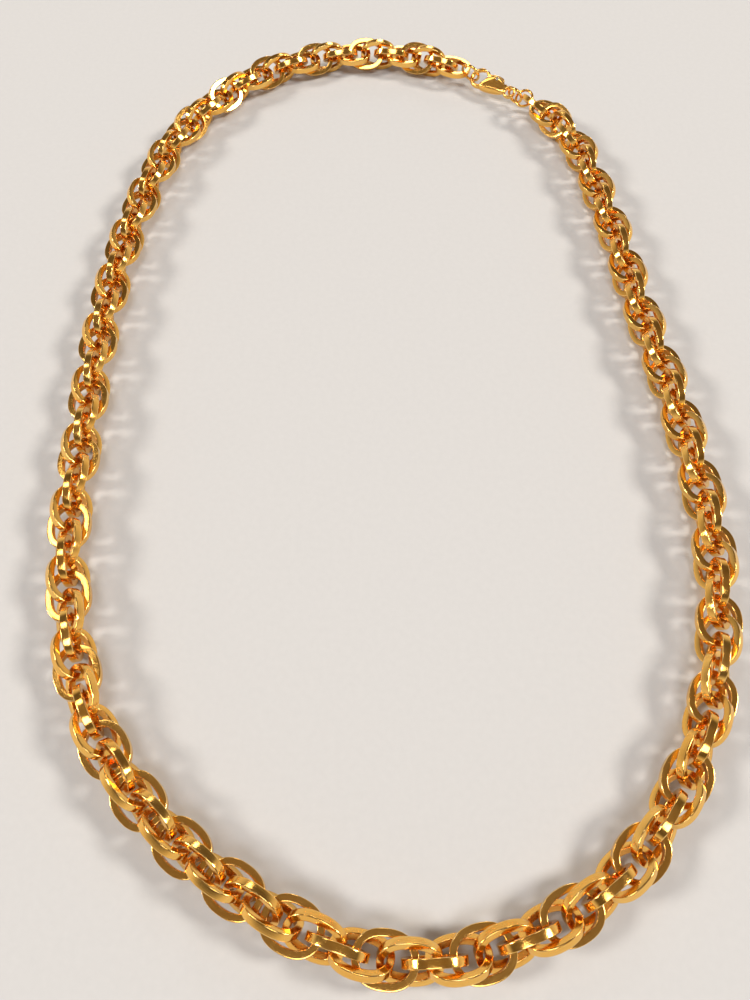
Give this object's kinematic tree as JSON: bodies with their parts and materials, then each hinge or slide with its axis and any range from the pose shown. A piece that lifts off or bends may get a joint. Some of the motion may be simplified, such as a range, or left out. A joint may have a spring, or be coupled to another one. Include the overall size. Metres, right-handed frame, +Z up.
{
  "type": "chain necklace",
  "caption": "Gold-coloured rope-link chain necklace, closed by a spring-lever lobster clasp and laid out in a long oval loop.",
  "frame": {"origin": "on the surface that the necklace lies on, under the middle of its box", "axes": "+Y along the loop from the front bend towards the clasp, +X to the right as seen from the front, +Z up from the surface"},
  "size_m": [0.1192, 0.2058, 0.0072],
  "materials": {
    "link_gold": "mirror-polished gold plate",
    "clasp_gold": "polished gold plate",
    "ring_gold": "polished gold plate",
    "spring_steel": "plain spring steel"
  },
  "bodies": {
    "front_links": {"front_links": "link_gold"},
    "right_links_01": {"right_links_01": "link_gold"},
    "right_links_02": {"right_links_02": "link_gold"},
    "right_links_03": {"right_links_03": "link_gold"},
    "right_links_04": {"right_links_04": "link_gold"},
    "right_links_05": {"right_links_05": "link_gold"},
    "right_links_06": {"right_links_06": "link_gold"},
    "right_links_07": {"right_links_07": "link_gold"},
    "right_links_08": {"right_links_08": "link_gold"},
    "right_links_09": {"right_links_09": "link_gold"},
    "right_links_10": {"right_links_10": "link_gold"},
    "right_links_11": {"right_links_11": "link_gold"},
    "right_links_12": {"right_links_12": "link_gold"},
    "right_links_13": {"right_links_13": "link_gold"},
    "right_links_14": {"right_links_14": "link_gold"},
    "right_links_15": {"right_links_15": "link_gold"},
    "right_links_16": {"right_links_16": "link_gold"},
    "right_links_17": {"right_links_17": "link_gold"},
    "right_links_18": {"right_links_18": "link_gold"},
    "right_links_19": {"right_links_19": "link_gold"},
    "right_links_20": {"right_links_20": "link_gold"},
    "right_links_21": {"right_links_21": "link_gold"},
    "right_links_22": {"right_links_22": "link_gold"},
    "right_end_ring": {"right_end_ring": "ring_gold"},
    "jump_ring": {"jump_ring": "ring_gold"},
    "clasp": {"clasp_body": "clasp_gold", "clasp_lever_pin": "spring_steel", "clasp_spring": "spring_steel"},
    "clasp_lever": {"clasp_lever": "clasp_gold"},
    "left_links_01": {"left_links_01": "link_gold"},
    "left_links_02": {"left_links_02": "link_gold"},
    "left_links_03": {"left_links_03": "link_gold"},
    "left_links_04": {"left_links_04": "link_gold"},
    "left_links_05": {"left_links_05": "link_gold"},
    "left_links_06": {"left_links_06": "link_gold"},
    "left_links_07": {"left_links_07": "link_gold"},
    "left_links_08": {"left_links_08": "link_gold"},
    "left_links_09": {"left_links_09": "link_gold"},
    "left_links_10": {"left_links_10": "link_gold"},
    "left_links_11": {"left_links_11": "link_gold"},
    "left_links_12": {"left_links_12": "link_gold"},
    "left_links_13": {"left_links_13": "link_gold"},
    "left_links_14": {"left_links_14": "link_gold"},
    "left_links_15": {"left_links_15": "link_gold"},
    "left_links_16": {"left_links_16": "link_gold"},
    "left_links_17": {"left_links_17": "link_gold"},
    "left_links_18": {"left_links_18": "link_gold"},
    "left_links_19": {"left_links_19": "link_gold"},
    "left_links_20": {"left_links_20": "link_gold"},
    "left_links_21": {"left_links_21": "link_gold"},
    "left_links_22": {"left_links_22": "link_gold"},
    "left_links_23": {"left_links_23": "link_gold"},
    "left_links_24": {"left_links_24": "link_gold"},
    "left_links_25": {"left_links_25": "link_gold"},
    "left_links_26": {"left_links_26": "link_gold"},
    "left_links_27": {"left_links_27": "link_gold"},
    "left_end_ring": {"left_end_ring": "ring_gold"}
  },
  "joints": [
    {"name": "right_fold_01", "type": "hinge", "parent": "front_links", "child": "right_links_01", "pos_m": [-0.00185, -0.09884, 0.0036], "axis": [0.1339, 0.991, -0.0013], "range_deg": [-8, 8]},
    {"name": "right_fold_02", "type": "hinge", "parent": "right_links_01", "child": "right_links_02", "pos_m": [0.00788, -0.0992, 0.0036], "axis": [-0.0833, -0.9965, 0.0013], "range_deg": [-8, 8]},
    {"name": "right_fold_03", "type": "hinge", "parent": "right_links_02", "child": "right_links_03", "pos_m": [0.01742, -0.09709, 0.0036], "axis": [0.0338, 0.9994, -0.0013], "range_deg": [-8, 8]},
    {"name": "right_fold_04", "type": "hinge", "parent": "right_links_03", "child": "right_links_04", "pos_m": [0.02639, -0.09324, 0.0036], "axis": [0.0143, -0.9999, 0.0014], "range_deg": [-8, 8]},
    {"name": "right_fold_05", "type": "hinge", "parent": "right_links_04", "child": "right_links_05", "pos_m": [0.03438, -0.08764, 0.0036], "axis": [-0.0594, 0.9982, -0.0014], "range_deg": [-8, 8]},
    {"name": "right_fold_06", "type": "hinge", "parent": "right_links_05", "child": "right_links_06", "pos_m": [0.041, -0.08046, 0.0036], "axis": [0.1002, -0.995, 0.0015], "range_deg": [-8, 8]},
    {"name": "right_fold_07", "type": "hinge", "parent": "right_links_06", "child": "right_links_07", "pos_m": [0.04644, -0.07234, 0.0036], "axis": [-0.1378, 0.9905, -0.0015], "range_deg": [-8, 8]},
    {"name": "right_fold_08", "type": "hinge", "parent": "right_links_07", "child": "right_links_08", "pos_m": [0.05063, -0.06352, 0.0036], "axis": [0.1716, -0.9852, 0.0016], "range_deg": [-8, 8]},
    {"name": "right_fold_09", "type": "hinge", "parent": "right_links_08", "child": "right_links_09", "pos_m": [0.05337, -0.05414, 0.0036], "axis": [-0.2002, 0.9797, -0.0017], "range_deg": [-8, 8]},
    {"name": "right_fold_10", "type": "hinge", "parent": "right_links_09", "child": "right_links_10", "pos_m": [0.05512, -0.04452, 0.0036], "axis": [0.2259, -0.9742, 0.0018], "range_deg": [-8, 8]},
    {"name": "right_fold_11", "type": "hinge", "parent": "right_links_10", "child": "right_links_11", "pos_m": [0.05601, -0.03478, 0.0036], "axis": [-0.2489, 0.9685, -0.0019], "range_deg": [-8, 8]},
    {"name": "right_fold_12", "type": "hinge", "parent": "right_links_11", "child": "right_links_12", "pos_m": [0.05591, -0.02501, 0.0036], "axis": [0.2677, -0.9635, 0.0021], "range_deg": [-8, 8]},
    {"name": "right_fold_13", "type": "hinge", "parent": "right_links_12", "child": "right_links_13", "pos_m": [0.05537, -0.01524, 0.0036], "axis": [-0.2858, 0.9583, -0.0023], "range_deg": [-8, 8]},
    {"name": "right_fold_14", "type": "hinge", "parent": "right_links_13", "child": "right_links_14", "pos_m": [0.05454, -0.0055, 0.0036], "axis": [0.3047, -0.9524, 0.0025], "range_deg": [-8, 8]},
    {"name": "right_fold_15", "type": "hinge", "parent": "right_links_14", "child": "right_links_15", "pos_m": [0.05333, 0.00421, 0.0036], "axis": [-0.3234, 0.9463, -0.0027], "range_deg": [-8, 8]},
    {"name": "right_fold_16", "type": "hinge", "parent": "right_links_15", "child": "right_links_16", "pos_m": [0.05213, 0.01391, 0.0036], "axis": [0.3465, -0.938, 0.0031], "range_deg": [-8, 8]},
    {"name": "right_fold_17", "type": "hinge", "parent": "right_links_16", "child": "right_links_17", "pos_m": [0.05126, 0.02365, 0.0036], "axis": [-0.3795, 0.9252, -0.0034], "range_deg": [-8, 8]},
    {"name": "right_fold_18", "type": "hinge", "parent": "right_links_17", "child": "right_links_18", "pos_m": [0.05045, 0.0334, 0.0036], "axis": [0.4221, -0.9065, 0.004], "range_deg": [-8, 8]},
    {"name": "right_fold_19", "type": "hinge", "parent": "right_links_18", "child": "right_links_19", "pos_m": [0.0492, 0.0431, 0.0036], "axis": [-0.4713, 0.882, -0.0046], "range_deg": [-8, 8]},
    {"name": "right_fold_20", "type": "hinge", "parent": "right_links_19", "child": "right_links_20", "pos_m": [0.04785, 0.05278, 0.0036], "axis": [0.5362, -0.8441, 0.0056], "range_deg": [-8, 8]},
    {"name": "right_fold_21", "type": "hinge", "parent": "right_links_20", "child": "right_links_21", "pos_m": [0.046, 0.06238, 0.0036], "axis": [-0.6174, 0.7866, -0.0069], "range_deg": [-8, 8]},
    {"name": "right_fold_22", "type": "hinge", "parent": "right_links_21", "child": "right_links_22", "pos_m": [0.04232, 0.07141, 0.0036], "axis": [0.6932, -0.7207, 0.0093], "range_deg": [-8, 8]},
    {"name": "right_ring_swing", "type": "hinge", "parent": "right_links_22", "child": "right_end_ring", "pos_m": [0.0352, 0.08121, 0.0036], "axis": [-0.7692, 0.6387, -0.0168], "range_deg": [-6, 6]},
    {"name": "jump_ring_swing", "type": "hinge", "parent": "right_end_ring", "child": "jump_ring", "pos_m": [0.03421, 0.08205, 0.0036], "axis": [0.7699, -0.638, 0.0184], "range_deg": [-6, 6]},
    {"name": "clasp_swing", "type": "hinge", "parent": "jump_ring", "child": "clasp", "pos_m": [0.03175, 0.08414, 0.0032], "axis": [-0.7722, 0.6352, 0.0145], "range_deg": [-6, 6]},
    {"name": "clasp_lever_open", "type": "hinge", "parent": "clasp", "child": "clasp_lever", "pos_m": [0.02899, 0.08791, 0.00371], "axis": [-0.2734, -0.3223, 0.9063], "range_deg": [0, 25]},
    {"name": "left_fold_01", "type": "hinge", "parent": "front_links", "child": "left_links_01", "pos_m": [-0.0112, -0.09589, 0.0036], "axis": [0.1842, 0.9829, -0.0013], "range_deg": [-8, 8]},
    {"name": "left_fold_02", "type": "hinge", "parent": "left_links_01", "child": "left_links_02", "pos_m": [-0.01959, -0.09166, 0.0036], "axis": [-0.2313, -0.9729, 0.0013], "range_deg": [-8, 8]},
    {"name": "left_fold_03", "type": "hinge", "parent": "left_links_02", "child": "left_links_03", "pos_m": [-0.02738, -0.0866, 0.0036], "axis": [0.2772, 0.9608, -0.0014], "range_deg": [-8, 8]},
    {"name": "left_fold_04", "type": "hinge", "parent": "left_links_03", "child": "left_links_04", "pos_m": [-0.03449, -0.08062, 0.0036], "axis": [-0.3219, -0.9468, 0.0014], "range_deg": [-8, 8]},
    {"name": "left_fold_05", "type": "hinge", "parent": "left_links_04", "child": "left_links_05", "pos_m": [-0.04074, -0.07374, 0.0036], "axis": [0.3652, 0.9309, -0.0014], "range_deg": [-8, 8]},
    {"name": "left_fold_06", "type": "hinge", "parent": "left_links_05", "child": "left_links_06", "pos_m": [-0.04593, -0.06549, 0.0036], "axis": [-0.4075, -0.9132, 0.0015], "range_deg": [-8, 8]},
    {"name": "left_fold_07", "type": "hinge", "parent": "left_links_06", "child": "left_links_07", "pos_m": [-0.04952, -0.05631, 0.0036], "axis": [0.4461, 0.895, -0.0015], "range_deg": [-8, 8]},
    {"name": "left_fold_08", "type": "hinge", "parent": "left_links_07", "child": "left_links_08", "pos_m": [-0.05205, -0.04678, 0.0036], "axis": [-0.4829, -0.8757, 0.0016], "range_deg": [-8, 8]},
    {"name": "left_fold_09", "type": "hinge", "parent": "left_links_08", "child": "left_links_09", "pos_m": [-0.05385, -0.03709, 0.0036], "axis": [0.5191, 0.8547, -0.0017], "range_deg": [-8, 8]},
    {"name": "left_fold_10", "type": "hinge", "parent": "left_links_09", "child": "left_links_10", "pos_m": [-0.05466, -0.02726, 0.0036], "axis": [-0.5536, -0.8328, 0.0018], "range_deg": [-8, 8]},
    {"name": "left_fold_11", "type": "hinge", "parent": "left_links_10", "child": "left_links_11", "pos_m": [-0.05508, -0.01741, 0.0036], "axis": [0.5892, 0.808, -0.0019], "range_deg": [-8, 8]},
    {"name": "left_fold_12", "type": "hinge", "parent": "left_links_11", "child": "left_links_12", "pos_m": [-0.0556, -0.00756, 0.0036], "axis": [-0.6283, -0.778, 0.002], "range_deg": [-8, 8]},
    {"name": "left_fold_13", "type": "hinge", "parent": "left_links_12", "child": "left_links_13", "pos_m": [-0.05597, 0.00229, 0.0036], "axis": [0.6697, 0.7426, -0.0021], "range_deg": [-8, 8]},
    {"name": "left_fold_14", "type": "hinge", "parent": "left_links_13", "child": "left_links_14", "pos_m": [-0.05602, 0.01216, 0.0036], "axis": [-0.7126, -0.7016, 0.0022], "range_deg": [-8, 8]},
    {"name": "left_fold_15", "type": "hinge", "parent": "left_links_14", "child": "left_links_15", "pos_m": [-0.05573, 0.02201, 0.0036], "axis": [0.7567, 0.6538, -0.0024], "range_deg": [-8, 8]},
    {"name": "left_fold_16", "type": "hinge", "parent": "left_links_15", "child": "left_links_16", "pos_m": [-0.05511, 0.03186, 0.0036], "axis": [-0.8015, -0.598, 0.0025], "range_deg": [-8, 8]},
    {"name": "left_fold_17", "type": "hinge", "parent": "left_links_16", "child": "left_links_17", "pos_m": [-0.05389, 0.04164, 0.0036], "axis": [0.8454, 0.5341, -0.0027], "range_deg": [-8, 8]},
    {"name": "left_fold_18", "type": "hinge", "parent": "left_links_17", "child": "left_links_18", "pos_m": [-0.05223, 0.05136, 0.0036], "axis": [-0.888, -0.4598, 0.0029], "range_deg": [-8, 8]},
    {"name": "left_fold_19", "type": "hinge", "parent": "left_links_18", "child": "left_links_19", "pos_m": [-0.04995, 0.06095, 0.0036], "axis": [0.9273, 0.3743, -0.0031], "range_deg": [-8, 8]},
    {"name": "left_fold_20", "type": "hinge", "parent": "left_links_19", "child": "left_links_20", "pos_m": [-0.0463, 0.0701, 0.0036], "axis": [-0.9593, -0.2822, 0.0034], "range_deg": [-8, 8]},
    {"name": "left_fold_21", "type": "hinge", "parent": "left_links_20", "child": "left_links_21", "pos_m": [-0.04126, 0.07857, 0.0036], "axis": [0.983, 0.1835, -0.0038], "range_deg": [-8, 8]},
    {"name": "left_fold_22", "type": "hinge", "parent": "left_links_21", "child": "left_links_22", "pos_m": [-0.03504, 0.08621, 0.0036], "axis": [-0.9971, -0.0763, 0.0042], "range_deg": [-8, 8]},
    {"name": "left_fold_23", "type": "hinge", "parent": "left_links_22", "child": "left_links_23", "pos_m": [-0.02734, 0.09232, 0.0036], "axis": [0.9995, -0.0316, -0.0049], "range_deg": [-8, 8]},
    {"name": "left_fold_24", "type": "hinge", "parent": "left_links_23", "child": "left_links_24", "pos_m": [-0.01842, 0.09649, 0.0036], "axis": [-0.9907, 0.136, 0.0059], "range_deg": [-8, 8]},
    {"name": "left_fold_25", "type": "hinge", "parent": "left_links_24", "child": "left_links_25", "pos_m": [-0.00887, 0.09891, 0.0036], "axis": [0.9698, -0.2439, -0.0074], "range_deg": [-8, 8]},
    {"name": "left_fold_26", "type": "hinge", "parent": "left_links_25", "child": "left_links_26", "pos_m": [0.00096, 0.09916, 0.0036], "axis": [-0.9376, 0.3476, 0.0103], "range_deg": [-8, 8]},
    {"name": "left_fold_27", "type": "hinge", "parent": "left_links_26", "child": "left_links_27", "pos_m": [0.01056, 0.09698, 0.0036], "axis": [0.903, -0.4293, -0.0171], "range_deg": [-8, 8]},
    {"name": "left_ring_swing", "type": "hinge", "parent": "left_links_27", "child": "left_end_ring", "pos_m": [0.02171, 0.09209, 0.0036], "axis": [-0.8258, 0.5549, 0.1005], "range_deg": [-6, 6]}
  ]
}
